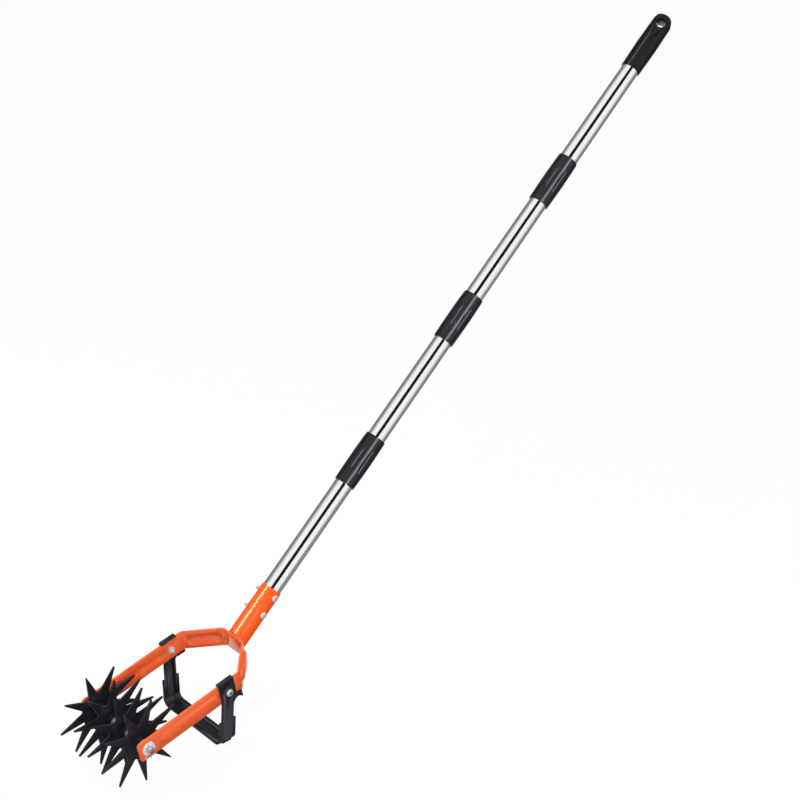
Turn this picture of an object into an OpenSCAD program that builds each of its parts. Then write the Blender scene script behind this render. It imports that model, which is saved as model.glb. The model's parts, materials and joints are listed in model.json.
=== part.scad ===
// Rotary hand cultivator: star wheels and a stirrup hoe on a strip fork, with a pole of
// screw-together tube sections. Millimetres, Z up, posed as it is used: the wheel points and
// the hoe blade are on the ground and the pole rises towards +Y.
// The origin is the middle of the hang hole in the grip. X runs along the axle.

/* [Pose] */
// Rise of the fork arms above level, from the axle to the pole, in degrees
arm_rise = 9.2; // [0:0.1:20]
// Angle between the fork arms and the pole, in degrees
pole_angle = 29.8; // [15:0.1:45]
// Turn of the grip about the pole, from the axle's direction, in degrees
grip_turn = 60; // [0:5:90]

/* [Fork] */
// Width of the fork's steel strip
strip_w = 28.5; // [25:0.5:34]
// Thickness of the fork's steel strip
strip_t = 2.5; // [2:0.1:3]
// Width over the outer faces of the two arms
fork_w = 118; // [112:1:130]
// Axle to the corner where an arm turns into its shoulder
arm_l = 144.5; // [142:0.5:160]
// Axle to the outer face of the crossbar
fork_l = 184.5; // [180:0.5:200]
// Length of the crossbar between its outer corners
bar_w = 40; // [34:1:46]
// Inner radius of the fork's bends
fork_bend_r = 5; // [3:0.5:8]
// Length of the arm in front of the axle
arm_end = 13.5; // [12:0.5:18]
// Corner radius at the arm ends
arm_corner_r = 5; // [3:0.5:8]
// Height of the pressed ribs on the arms
arm_rib_h = 2.4; // [1:0.1:3]
// Width of an arm rib at its foot
arm_rib_w = 12; // [10:0.5:16]
// Height of the pressed ribs on the shoulders
shoulder_rib_h = 4.5; // [3:0.1:5]
// Width of a shoulder rib at its foot
shoulder_rib_w = 20; // [17:0.5:22]

/* [Socket] */
// Outer diameter of the socket tube
socket_d = 28; // [27.5:0.1:31]
// Length of the socket along the pole, from the fork's middle plane
socket_l = 84.5; // [80:0.5:110]
// Fork's middle plane to the lower cross screw
socket_screw_s = 50; // [42:0.5:54]
// Distance between the two cross screws
socket_screw_gap = 26; // [18:0.5:28]
// Shank diameter of the cross screws
socket_screw_d = 4; // [3:0.5:5]

/* [Pole] */
// Outer diameter of the pole tubes
tube_d = 25.8; // [22:0.1:26.4]
// Wall of the pole tubes
tube_t = 1.2; // [0.8:0.1:2]
// Fork's middle plane to the lower edge of the first coupler
first_coupler_s = 249; // [200:1:300]
// Pitch of the pole sections
section_l = 232; // [160:1:300]
// Length of a coupler
coupler_l = 73.5; // [66:0.5:90]
// Largest diameter of a coupler
coupler_d = 30; // [29.5:0.1:34]
// Number of finger flutes round a coupler
flute_n = 9; // [6:1:10]
// Depth of a finger flute
flute_depth = 1.1; // [0.5:0.1:1.4]
// Length of a finger flute
flute_l = 44; // [30:1:50]

/* [Grip] */
// Length of the end grip
grip_l = 92; // [88:1:130]
// Diameter of the grip at its mouth
grip_d = 28; // [27.6:0.1:31]
// Largest diameter of the grip, where its flat faces begin
grip_belly_d = 29.6; // [28:0.1:33]
// Diameter of the grip at its rounded end
grip_end_d = 28; // [27:0.1:31]
// Thickness of the grip over its flat faces at the end
grip_flat = 19; // [16:0.5:22]
// Diameter of the hang hole
hang_d = 14; // [10:0.5:16]
// Hang hole to the end of the grip
hang_inset = 15; // [12.5:0.5:16]

/* [Axle] */
// Diameter of the axle
axle_d = 8; // [6:0.5:10]
// Diameter of the axle's head
axle_head_d = 15; // [13:0.5:18]
// Outer diameter of the axle washer
washer_d = 18; // [16:0.5:22]
// Thickness of the axle washer
washer_t = 1.6; // [1:0.1:2]
// Wire diameter of the split pin
pin_wire_d = 1.2; // [0.8:0.1:1.5]

/* [Star wheels] */
// Radius over the points of a star wheel
wheel_r = 59; // [50:0.5:62]
// Number of points on a star wheel
point_n = 9; // [7:1:11]
// Radius at the bottom of the notches
notch_r = 24; // [20:0.5:28]
// Rounding at the bottom of the notches
notch_round = 3; // [1:0.1:4]
// Blunt width of each point
point_w = 1.4; // [0.6:0.1:3]
// Sheet thickness of a star wheel
wheel_t = 2.5; // [1.5:0.1:3]
// Depth of the dish from the hub to the points
dish = 6; // [3:0.5:9]
// Radius of the flat hub
hub_r = 14; // [12:0.5:17]
// Inside of the first arm to the hub of the first wheel
first_wheel_gap = 11; // [10:0.5:13]
// Outer diameter of a wheel bush
bush_d = 14; // [12:0.5:16]
// Length of a wheel bush
bush_l = 15; // [12:0.5:18]

/* [Stirrup hoe] */
// Thickness of the hoe's steel strip
hoe_t = 2.5; // [2:0.1:3]
// Width of the hoe's strip at the blade
hoe_w = 25; // [23:0.5:32]
// Width of the necks below the arms
neck_w = 18; // [17:0.5:21]
// Width of the plates on the arms
plate_w = 23; // [22:0.5:26]
// Hoe's screws to the corner where the arms turn into the shoulders
hoe_setback = 22; // [20:0.5:30]
// Screw to the underside of the blade, along the legs
hoe_drop = 82; // [74:0.5:90]
// Screw to the shoulders below the necks, along the legs
neck_l = 45; // [38:0.5:50]
// Forward lean of the legs from square to the arms, in degrees
hoe_lean = 12; // [5:1:18]
// Inward lean of the legs below the arms, in degrees
hoe_inward = 3; // [2:0.5:8]
// Inner radius of the lower bends
hoe_bend_r = 8; // [5:0.5:12]
// Height of the hoe's pressed rib
hoe_rib_h = 2; // [1:0.1:3]
// Width of the hoe's pressed rib at its foot
hoe_rib_w = 15; // [13:0.5:15.5]
// Shank diameter of the hoe's screws
hoe_screw_d = 5; // [4:0.5:6]

/* [Hidden] */
$fn = 72;

// Finishes as the object shows them
orange_paint = "orangered";
black_coat = "#26262a";
black_plastic = "#333238";
bright_steel = "silver";
zinc = "lightsteelblue";

// Overrun of every cut
over = 1;
// Lap of a strip's straight runs into its bends, and how much thinner the bends are for it
lap = 0.3;
skin = 0.01;
// Radial clearances: running on the axle, sliding in a seat, round a screw, in a nut's thread
run_gap = 0.05;
slip_gap = 0.05;
hole_gap = 0.2;
thread_gap = 0.04;
// Side clearance between the bushes and the spacers
side_gap = 0.3;
// Clearance of the hoe's lips round an arm
lip_gap = 0.1;

// Fork sizes that follow
arm_x = fork_w / 2;
arm_in_x = arm_x - strip_t;
shoulder_a = atan2(fork_l - arm_l, arm_x - bar_w / 2);
shoulder_l = norm([arm_x - bar_w / 2, fork_l - arm_l]);
fork_outline = [[arm_x, -arm_end], [arm_x, arm_l], [bar_w / 2, fork_l],
    [-bar_w / 2, fork_l], [-arm_x, arm_l], [-arm_x, -arm_end]];
arm_rib_top_share = 0.7;
shoulder_rib_top_share = 0.5;
hoe_rib_top_share = 0.7;
rib_inner_share = 0.8;
crest_end_share = 0.4;
shoulder_rib_l = shoulder_l - 2 * (fork_bend_r + strip_t) * tan(shoulder_a / 2);
hoe_screw_y = arm_l - hoe_setback;
arm_rib_start = washer_d;
arm_rib_end = hoe_screw_y - plate_w / 2 - arm_rib_h;

// Places along the pole, from the fork's middle plane
pole_foot = fork_l - strip_t;
tube_foot_s = socket_screw_s - socket_d;
bore_d = tube_d + 2 * slip_gap;
tube_in_d = tube_d - 2 * tube_t;
low_seat = 30;
top_seat = 20;
plug_flange = 2;
plug_l = 32;
thread_d = 17;
coupler_crown = 0.6;
coupler_end_d = coupler_d - 2 * coupler_crown;
flute_r = 4;
grip_s = first_coupler_s + 3 * section_l;
grip_end_s = grip_s + grip_l;
hang_s = grip_end_s - hang_inset;
grip_seat_share = 0.42;
grip_seat = grip_l * grip_seat_share;
grip_flat_share = 0.45;
grip_flat_s = grip_l * grip_flat_share;
hang_point = [0, pole_foot + hang_s * cos(pole_angle), hang_s * sin(pole_angle)];

// Distance between neighbouring wheels, as a share of the width between the arms
wheel_pitch_share = 0.252;
wheel_pitch = 2 * arm_in_x * wheel_pitch_share;
first_wheel_x = first_wheel_gap - arm_in_x;
// Turns of the star wheels on the axle, in degrees
wheel_turns = [16, 35, 15, 22];
wheel_bore_d = axle_d + 2 * run_gap;
notch_steps = 5;
bush_back_share = 0.45;
bush_back = bush_l * bush_back_share;
collar_rim = 2;
collar_d = bush_d + 2 * collar_rim;
collar_t = 1.6;

// Axle ends
axle_head_t = 3;
pin_x = arm_x + washer_t + pin_wire_d + slip_gap;
axle_tip_x = pin_x + axle_d / 2;
pin_hole_d = 2 * pin_wire_d + 2 * slip_gap;
pin_tail = 6;
pin_leg_l = axle_d / 2 + pin_tail;
pin_eye_share = 2.4;
pin_eye_r = pin_wire_d * pin_eye_share;
pin_spread = 30;
// Lean of the split pin towards the pole, in degrees
pin_lean = 25;

// Hoe places, from its screws
plate_top = strip_w / 2 + lip_gap + hoe_t;
leg_top = strip_w / 2 + hoe_t;
hoe_x = arm_x + lip_gap + hoe_t;
hoe_foot_x = hoe_x - (hoe_drop - leg_top) * tan(hoe_inward);
hoe_outline = [[-hoe_x, 0], [-hoe_x, -leg_top], [-hoe_foot_x, -hoe_drop],
    [hoe_foot_x, -hoe_drop], [hoe_x, -leg_top], [hoe_x, 0]];
bottom_lip_w = 13;
// Claw on the pole side of each plate: its reach from the screw, its drop, its bite and its point
claw_reach = neck_w / 2 + bottom_lip_w - hoe_t;
claw_drop = 7;
claw_bite_r = 6.5;
claw_point = 1.2;

// Fastener shapes
socket_head_share = 2.35;
hoe_head_share = 1.9;
head_h_share = 0.62;
nut_w_share = 1.75;
nut_h_share = 0.8;
hoe_head_x = hoe_x + hoe_rib_h;
screw_tail = 5;

// From the axle's frame to the finished pose
module in_head() {
    rotate([arm_rise, 0, 0])
    translate(-hang_point)
    children();
}

// From the pole's frame, Z up the pole, to the finished pose
module on_pole() {
    in_head()
    translate([0, pole_foot, 0])
    rotate([pole_angle - 90, 0, 0])
    children();
}

// Points Z of a shape along the axle, with its X towards the pole
module along_axle() {
    rotate([90, 0, 90])
    children();
}

// Round bar along X from x0 to x1
module bar_x(x0, x1, d) {
    translate([x0, 0, 0])
    rotate([0, 90, 0])
    cylinder(h = x1 - x0, d = d);
}

function heading(p, q) = atan2(q[1] - p[1], q[0] - p[0]);
function turn_at(pts, i) = (heading(pts[i], pts[i + 1]) - heading(pts[i - 1], pts[i]) + 360) % 360;

// Length that the bend at corner i takes off each straight run
function bend_cut(pts, i, r) = i == 0 || i == len(pts) - 1 ? 0 : r * tan(turn_at(pts, i) / 2);

// Bends a strip round the outer corner points, with the inside on the left. The sections of
// the runs and of the bends are drawn with X outwards from the inner face and Y across the
// strip; the runs lap a little into the bends.
module bent_strip(pts, r, t) {
    for (i = [0 : len(pts) - 2]) {
        start_cut = max(0, bend_cut(pts, i, r + t) - lap);
        end_cut = max(0, bend_cut(pts, i + 1, r + t) - lap);
        translate(pts[i])
        rotate(heading(pts[i], pts[i + 1]))
        translate([start_cut, t, 0])
        rotate([-90, 0, -90])
        linear_extrude(norm(pts[i + 1] - pts[i]) - start_cut - end_cut)
        children(0);
    }
    for (i = [1 : len(pts) - 2])
        translate(pts[i])
        rotate(heading(pts[i - 1], pts[i]))
        translate([-bend_cut(pts, i, r + t), r + t, 0])
        rotate(-90)
        rotate_extrude(angle = turn_at(pts, i))
        translate([r, 0])
        children(1);
}

// Pressed rib along X, rising along Z from its foot, with round ends
module pressed_rib(l, w, h, under, top_share) {
    top_w = w * top_share;
    run = l - w;
    along_axle()
    linear_extrude(run, center = true)
    polygon([[-w / 2, -under], [w / 2, -under], [w / 2, 0], [top_w / 2, h], [-top_w / 2, h], [-w / 2, 0]]);
    for (side = [-1, 1])
        translate([side * run / 2, 0, 0]) {
            cylinder(h = h, d1 = w, d2 = top_w);
            translate([0, 0, -under])
            cylinder(h = under, d = w);
        }
}

// Pressed rib whose crest runs in a long arc, highest in the middle
module crested_rib(l, w, h, under) {
    fall = h * (1 - crest_end_share);
    crest_r = (l * l / 4 + fall * fall) / (2 * fall);
    intersection() {
        pressed_rib(l, w, h, under, shoulder_rib_top_share);
        translate([0, 0, h - crest_r])
        rotate([90, 0, 0])
        cylinder(h = 2 * w, r = crest_r, center = true, $fn = 4 * $fn);
    }
}

// Places its children on the middle of each arm rib and each shoulder rib, Z outwards
module at_arm_ribs() {
    for (side = [0, 1])
        mirror([side, 0, 0])
        translate([arm_x, (arm_rib_start + arm_rib_end) / 2, 0])
        rotate([90, 0, 90])
        children();
}

module at_shoulder_ribs() {
    for (side = [0, 1])
        mirror([side, 0, 0])
        translate([(arm_x + bar_w / 2) / 2, (arm_l + fork_l) / 2, 0])
        rotate([90, 0, 180 - shoulder_a])
        children();
}

// What the round corners at an arm's end leave of its square corners
module arm_corner_cuts() {
    for (up = [-1, 1])
        translate([0, -arm_end + arm_corner_r, up * (strip_w / 2 - arm_corner_r)])
        rotate([0, 90, 0])
        linear_extrude(fork_w + 2 * over, center = true)
        difference() {
            translate([up > 0 ? -arm_corner_r - over : 0, -arm_corner_r - over])
            square(arm_corner_r + over);
            circle(arm_corner_r);
        }
}

// Section of the fork's strip, thinner all round by the skin
module strip_section(thinner) {
    translate([thinner, thinner - strip_w / 2])
    square([strip_t - 2 * thinner, strip_w - 2 * thinner]);
}

// Bent steel strip with pressed ribs that carries the axle, the hoe and the socket
module fork() {
    arm_rib_l = arm_rib_end - arm_rib_start;
    color(orange_paint)
    in_head()
    difference() {
        union() {
            bent_strip(fork_outline, fork_bend_r, strip_t) {
                strip_section(0);
                strip_section(skin);
            }
            at_arm_ribs()
                pressed_rib(arm_rib_l, arm_rib_w, arm_rib_h, strip_t / 2, arm_rib_top_share);
            at_shoulder_ribs()
                crested_rib(shoulder_rib_l, shoulder_rib_w, shoulder_rib_h, strip_t / 2);
        }
        at_arm_ribs()
            translate([0, 0, -strip_t])
            pressed_rib(arm_rib_l - strip_t, arm_rib_w * rib_inner_share, arm_rib_h, over, arm_rib_top_share);
        at_shoulder_ribs()
            translate([0, 0, -strip_t])
            crested_rib(shoulder_rib_l - strip_t, shoulder_rib_w * rib_inner_share, shoulder_rib_h, over);
        arm_corner_cuts();
        bar_x(-arm_x - over, arm_x + over, axle_d + 2 * hole_gap);
        translate([0, hoe_screw_y, 0])
        bar_x(-arm_x - over, arm_x + over, hoe_screw_d + 2 * hole_gap);
    }
}

// Cross holes of the socket, along X
module socket_cross_holes() {
    for (s = [socket_screw_s, socket_screw_s + socket_screw_gap])
        translate([0, 0, s])
        bar_x(-socket_d, socket_d, socket_screw_d + 2 * hole_gap);
}

// Block in front of a plane square to the arms
module before_plane(y) {
    in_head()
    translate([-socket_d, y - 2 * socket_l, -socket_l])
    cube([2 * socket_d, 2 * socket_l, 2 * socket_l]);
}

// Round socket, closed at its foot, which is cut to lie on the fork's crossbar
module socket_tube() {
    color(orange_paint)
    difference() {
        on_pole()
        translate([0, 0, -socket_d])
        cylinder(h = socket_l + socket_d, d = socket_d);
        difference() {
            on_pole()
            translate([0, 0, -socket_d - over])
            cylinder(h = socket_l + socket_d + 2 * over, d = bore_d);
            before_plane(fork_l + strip_t);
        }
        on_pole()
        socket_cross_holes();
        before_plane(fork_l);
    }
}

// Screw along X with a domed pan head, its head resting at x1
module pan_screw(d, head_d, x0, x1) {
    head_h = d * head_h_share;
    translate([x1, 0, 0])
    rotate([0, 90, 0])
    rotate_extrude() {
        translate([0, x0 - x1])
        square([d / 2, x1 - x0 + head_h / 2]);
        intersection() {
            square([head_d / 2, head_h]);
            translate([0, head_h - head_d])
            circle(head_d);
        }
    }
}

// Hexagon nut along X between x0 and x1, for a screw of diameter d
module hex_nut(d, x0, x1) {
    difference() {
        translate([x0, 0, 0])
        rotate([0, 90, 0])
        cylinder(h = x1 - x0, d = d * nut_w_share / cos(30), $fn = 6);
        bar_x(x0 - over, x1 + over, d + 2 * thread_gap);
    }
}

// Two cross screws that hold the pole in the socket
module socket_screws() {
    tail_x = -socket_d / 2 - socket_screw_d * nut_h_share - screw_tail;
    color(zinc)
    on_pole()
    for (s = [socket_screw_s, socket_screw_s + socket_screw_gap])
        translate([0, 0, s])
        pan_screw(socket_screw_d, socket_screw_d * socket_head_share, tail_x, socket_d / 2);
}

module socket_nuts() {
    color(zinc)
    on_pole()
    for (s = [socket_screw_s, socket_screw_s + socket_screw_gap])
        translate([0, 0, s])
        hex_nut(socket_screw_d, -socket_d / 2 - socket_screw_d * nut_h_share, -socket_d / 2);
}

// Lower and upper end of tube section i along the pole
function tube_low(i) = i == 0 ? tube_foot_s : coupler_s(i - 1) + coupler_l - top_seat;
function tube_high(i) = i == 3 ? grip_s + grip_seat : coupler_s(i) + low_seat;
function coupler_s(i) = first_coupler_s + i * section_l;

// One bright steel tube of the pole; the first is drilled for the socket's screws
module pole_tube(i) {
    color(bright_steel)
    on_pole()
    difference() {
        translate([0, 0, tube_low(i)])
        cylinder(h = tube_high(i) - tube_low(i), d = tube_d);
        translate([0, 0, tube_low(i) - over])
        cylinder(h = tube_high(i) - tube_low(i) + 2 * over, d = tube_in_d);
        if (i == 0)
            socket_cross_holes();
    }
}

// Almond-shaped finger flutes: a ring of large radius that dips into the coupler's side
module finger_flutes() {
    ring_r = flute_l * flute_l / (8 * flute_depth);
    for (k = [0 : flute_n - 1])
        rotate(k * 360 / flute_n)
        translate([coupler_d / 2 - flute_depth + flute_r + ring_r, 0, coupler_l / 2])
        rotate([90, 0, 0])
        rotate(180 - asin(flute_l / ring_r))
        rotate_extrude(angle = 2 * asin(flute_l / ring_r))
        translate([ring_r, 0])
        circle(flute_r);
}

// Barrel-shaped screw coupler with a seat for the lower tube and a mouth for the upper one
module coupler(i) {
    crown_r = (coupler_l * coupler_l / 4) / (coupler_d - coupler_end_d);
    color(black_plastic)
    on_pole()
    translate([0, 0, coupler_s(i)])
    difference() {
        rotate_extrude()
        intersection() {
            square([coupler_d / 2, coupler_l]);
            translate([coupler_d / 2 - crown_r, coupler_l / 2])
            circle(crown_r, $fn = 6 * $fn);
        }
        translate([0, 0, -over])
        cylinder(h = low_seat + over, d = bore_d);
        translate([0, 0, -over])
        cylinder(h = coupler_l + 2 * over, d = thread_d + 2 * thread_gap);
        translate([0, 0, coupler_l - top_seat - plug_flange])
        cylinder(h = top_seat + plug_flange + over, d = bore_d);
        finger_flutes();
    }
}

// Plug in the foot of the upper tube, with the stud that screws into the coupler
module threaded_plug(i) {
    foot = tube_low(i + 1);
    color(black_plastic)
    on_pole()
    translate([0, 0, foot]) {
        cylinder(h = plug_l, d = tube_in_d - 2 * slip_gap);
        translate([0, 0, -plug_flange])
        cylinder(h = plug_flange, d = tube_d - 2 * slip_gap);
        translate([0, 0, -coupler_l + top_seat + low_seat])
        cylinder(h = coupler_l - top_seat - low_seat, d = thread_d);
    }
}

// End grip: round at its mouth, flat on two sides at its rounded end, with the hang hole
module end_grip() {
    half_turn_s = grip_l - grip_end_d / 2;
    flat_mouth = grip_belly_d / 2 + over;
    color(black_plastic)
    on_pole()
    translate([0, 0, grip_s])
    rotate(-grip_turn)
    difference() {
        intersection() {
            rotate_extrude()
            polygon([[0, 0], [grip_d / 2, 0], [grip_belly_d / 2, grip_flat_s],
                [grip_end_d / 2, grip_l], [0, grip_l]]);
            along_axle()
            linear_extrude(2 * grip_d, center = true)
            union() {
                translate([-grip_belly_d, 0])
                square([2 * grip_belly_d, half_turn_s]);
                translate([0, half_turn_s])
                circle(d = grip_end_d);
            }
            rotate([90, 0, 0])
            linear_extrude(2 * grip_d, center = true)
            polygon([[-flat_mouth, 0], [flat_mouth, 0], [flat_mouth, grip_flat_s],
                [grip_flat / 2, grip_l], [-grip_flat / 2, grip_l], [-flat_mouth, grip_flat_s]]);
        }
        translate([0, 0, -over])
        cylinder(h = grip_seat + over, d = bore_d);
        translate([0, 0, grip_l - hang_inset])
        bar_x(-grip_d, grip_d, hang_d);
    }
}

// Axle pin with a flat head outside one arm and a cross hole outside the other
module axle() {
    color(zinc)
    in_head()
    difference() {
        union() {
            bar_x(-arm_x, axle_tip_x, axle_d);
            bar_x(-arm_x - axle_head_t, -arm_x, axle_head_d);
        }
        translate([pin_x, 0, 0])
        rotate([-pin_lean, 0, 0])
        cylinder(h = 2 * axle_d, d = pin_hole_d, center = true);
    }
}

module axle_washer() {
    color(zinc)
    in_head()
    difference() {
        bar_x(arm_x, arm_x + washer_t, washer_d);
        bar_x(arm_x - over, arm_x + washer_t + over, axle_d + 2 * hole_gap);
    }
}

// Split pin, leaning towards the pole: an eye above the axle and two legs, spread below it
module split_pin() {
    color(zinc)
    in_head()
    translate([pin_x, 0, 0])
    rotate([-pin_lean, 0, 0]) {
        cylinder(h = axle_d + 2 * pin_wire_d, d = 2 * pin_wire_d, center = true);
        for (side = [-1, 1])
            translate([0, 0, -axle_d / 2])
            rotate([180 + side * pin_spread, 0, 0])
            cylinder(h = pin_leg_l, d = pin_wire_d);
        translate([0, 0, axle_d / 2 + pin_wire_d + pin_eye_r])
        rotate([0, 90, 0])
        rotate_extrude()
        translate([pin_eye_r, 0])
        circle(d = pin_wire_d);
    }
}

function wheel_x(i) = first_wheel_x + i * wheel_pitch;
function turned(p, a) = [p[0] * cos(a) - p[1] * sin(a), p[0] * sin(a) + p[1] * cos(a)];

// Sleeves on the axle between the arms and the wheel bushes
module axle_spacers() {
    stops = [for (i = [0 : 4]) [
        i == 0 ? -arm_in_x : wheel_x(i - 1) - bush_back + bush_l + side_gap,
        i == 4 ? arm_in_x : wheel_x(i) - bush_back - side_gap]];
    color(zinc)
    in_head()
    for (s = stops)
        difference() {
            bar_x(s[0], s[1], bush_d);
            bar_x(s[0] - over, s[1] + over, wheel_bore_d);
        }
}

// Outline of a star wheel: straight-sided points with a round-bottomed notch between each two
module star_outline() {
    step_a = 360 / point_n;
    tip_a = asin(point_w / 2 / wheel_r);
    mouth = wheel_r * [cos(step_a / 2 - tip_a), sin(step_a / 2 - tip_a)];
    centre = [notch_r + notch_round, 0];
    touch_a = heading(centre, mouth) + acos(notch_round / norm(mouth - centre));
    facet_a = (180 - touch_a) / notch_steps;
    bottom = [for (j = [-notch_steps : notch_steps])
        centre + notch_round * [-cos(j * facet_a), sin(j * facet_a)]];
    notch = concat([[mouth[0], -mouth[1]]], bottom, [mouth]);
    polygon([for (k = [0 : point_n - 1]) for (p = notch) turned(p, (k + 0.5) * step_a)]);
}

// Dished star wheel of pressed sheet with sharp points
module star_wheel(i) {
    color(black_coat)
    in_head()
    translate([wheel_x(i), 0, 0])
    along_axle()
    rotate(wheel_turns[i])
    intersection() {
        rotate_extrude()
        polygon([[bush_d / 2 + slip_gap, -wheel_t / 2], [hub_r, -wheel_t / 2],
            [wheel_r + over, dish - wheel_t / 2], [wheel_r + over, dish + wheel_t / 2],
            [hub_r, wheel_t / 2], [bush_d / 2 + slip_gap, wheel_t / 2]]);
        translate([0, 0, -wheel_t])
        linear_extrude(dish + 3 * wheel_t)
        star_outline();
    }
}

// Flanged bush pressed through a wheel's hub, running on the axle
module wheel_bush(i) {
    x = wheel_x(i);
    color(black_coat)
    in_head()
    difference() {
        union() {
            bar_x(x - bush_back, x - bush_back + bush_l, bush_d);
            bar_x(x + wheel_t / 2, x + wheel_t / 2 + collar_t, collar_d);
        }
        bar_x(x - bush_l, x + bush_l, wheel_bore_d);
    }
}

// Section of the hoe's strip: flat edges and a middle pressed outwards
module hoe_section(thinner) {
    edge_y = hoe_w / 2 - thinner;
    rib_y = hoe_rib_w / 2 - thinner;
    top_y = hoe_rib_w / 2 * hoe_rib_top_share - thinner;
    in_y = hoe_rib_w / 2 * rib_inner_share + thinner;
    in_top_y = hoe_rib_w / 2 * hoe_rib_top_share * rib_inner_share + thinner;
    out_x = hoe_t - thinner;
    polygon([[thinner, -edge_y], [out_x, -edge_y], [out_x, -rib_y], [out_x + hoe_rib_h, -top_y],
        [out_x + hoe_rib_h, top_y], [out_x, rib_y], [out_x, edge_y], [thinner, edge_y],
        [thinner, in_y], [hoe_rib_h + thinner, in_top_y], [hoe_rib_h + thinner, -in_top_y], [thinner, -in_y]]);
}

// From the hoe's own frame, legs straight down from its screws, to the axle's frame
module in_hoe() {
    translate([0, hoe_screw_y, 0])
    rotate([-hoe_lean, 0, 0])
    children();
}

// Plate on the outer face of one arm, with a lip over the arm and a lip under it
module hoe_plate() {
    plate_x = arm_x + lip_gap;
    lip_in_x = arm_in_x - hoe_t / 2;
    lip_z = strip_w / 2 + lip_gap;
    translate([plate_x, hoe_screw_y - plate_w / 2, -lip_z])
    cube([hoe_t, plate_w, 2 * lip_z + hoe_t]);
    translate([lip_in_x, hoe_screw_y - plate_w / 2, lip_z])
    cube([plate_x - lip_in_x + hoe_t, plate_w, hoe_t]);
    translate([lip_in_x, hoe_screw_y + neck_w / 2 - hoe_t, -lip_z - hoe_t])
    cube([plate_x - lip_in_x + hoe_t, bottom_lip_w, hoe_t]);
    translate([plate_x, hoe_screw_y, -lip_z])
    along_axle()
    linear_extrude(hoe_t)
    difference() {
        translate([0, -claw_drop])
        square([claw_reach, claw_drop + hoe_t]);
        translate([claw_reach - claw_point - claw_bite_r, -claw_drop - hoe_t])
        circle(claw_bite_r);
    }
}

// Stirrup hoe: one strip bent round to a loop, with the blade between two legs
module stirrup_hoe() {
    side_cut = hoe_w - neck_w;
    color(black_coat)
    in_head()
    difference() {
        union() {
            in_hoe()
            difference() {
                rotate([90, 0, 0])
                bent_strip(hoe_outline, hoe_bend_r, hoe_t) {
                    hoe_section(0);
                    hoe_section(skin);
                }
                for (side = [-1, 1])
                    translate([-2 * hoe_x, side * (neck_w / 2 + side_cut / 2) - side_cut / 2, -neck_l])
                    cube([4 * hoe_x, side_cut, neck_l + over]);
            }
            for (side = [0, 1])
                mirror([side, 0, 0])
                hoe_plate();
            in_hoe()
            for (side = [-1, 1])
                translate([side * hoe_x, 0, 0])
                rotate([0, side * 90, 0])
                cylinder(h = hoe_rib_h, d1 = hoe_rib_w, d2 = hoe_rib_w * hoe_rib_top_share);
        }
        in_hoe()
        for (side = [0, 1])
            mirror([side, 0, 0]) {
                translate([arm_x + lip_gap, 0, 0])
                rotate([0, 90, 0])
                cylinder(h = hoe_rib_h, d1 = hoe_rib_w * rib_inner_share,
                    d2 = hoe_rib_w * hoe_rib_top_share * rib_inner_share);
            }
        translate([0, hoe_screw_y, 0])
        bar_x(-2 * arm_x, 2 * arm_x, hoe_screw_d + 2 * hole_gap);
    }
}

// Screws that hold the hoe to the arms, heads outside
module hoe_screws() {
    tail_x = arm_in_x - hoe_screw_d * (nut_h_share + head_h_share);
    color(zinc)
    in_head()
    translate([0, hoe_screw_y, 0])
    for (side = [0, 1])
        mirror([side, 0, 0])
        pan_screw(hoe_screw_d, hoe_screw_d * hoe_head_share, tail_x, hoe_head_x);
}

module hoe_nuts() {
    color(zinc)
    in_head()
    translate([0, hoe_screw_y, 0])
    for (side = [0, 1])
        mirror([side, 0, 0])
        hex_nut(hoe_screw_d, arm_in_x - hoe_screw_d * nut_h_share, arm_in_x);
}

fork();
socket_tube();
socket_screws();
socket_nuts();
pole_tube(0);  // pole_tube_1
pole_tube(1);  // pole_tube_2
pole_tube(2);  // pole_tube_3
pole_tube(3);  // pole_tube_4
coupler(0);  // coupler_1
coupler(1);  // coupler_2
coupler(2);  // coupler_3
threaded_plug(0);  // threaded_plug_1
threaded_plug(1);  // threaded_plug_2
threaded_plug(2);  // threaded_plug_3
end_grip();
axle();
axle_washer();
split_pin();
axle_spacers();
star_wheel(0);  // star_wheel_1
star_wheel(1);  // star_wheel_2
star_wheel(2);  // star_wheel_3
star_wheel(3);  // star_wheel_4
wheel_bush(0);  // wheel_bush_1
wheel_bush(1);  // wheel_bush_2
wheel_bush(2);  // wheel_bush_3
wheel_bush(3);  // wheel_bush_4
stirrup_hoe();
hoe_screws();
hoe_nuts();
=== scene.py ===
# %% [markdown]
# A rotary hand cultivator is four star wheels on an axle, held by an orange fork, with a black
# stirrup hoe behind them and a long pole. The solid model already has every size and joint, so
# it is loaded first as a fixed frame, and everything here is laid over it in metres.

# %% Load the solid model
import json
from math import radians, cos, sin, tan, pi
import bpy
import bmesh
from mathutils import Matrix, Vector


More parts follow.
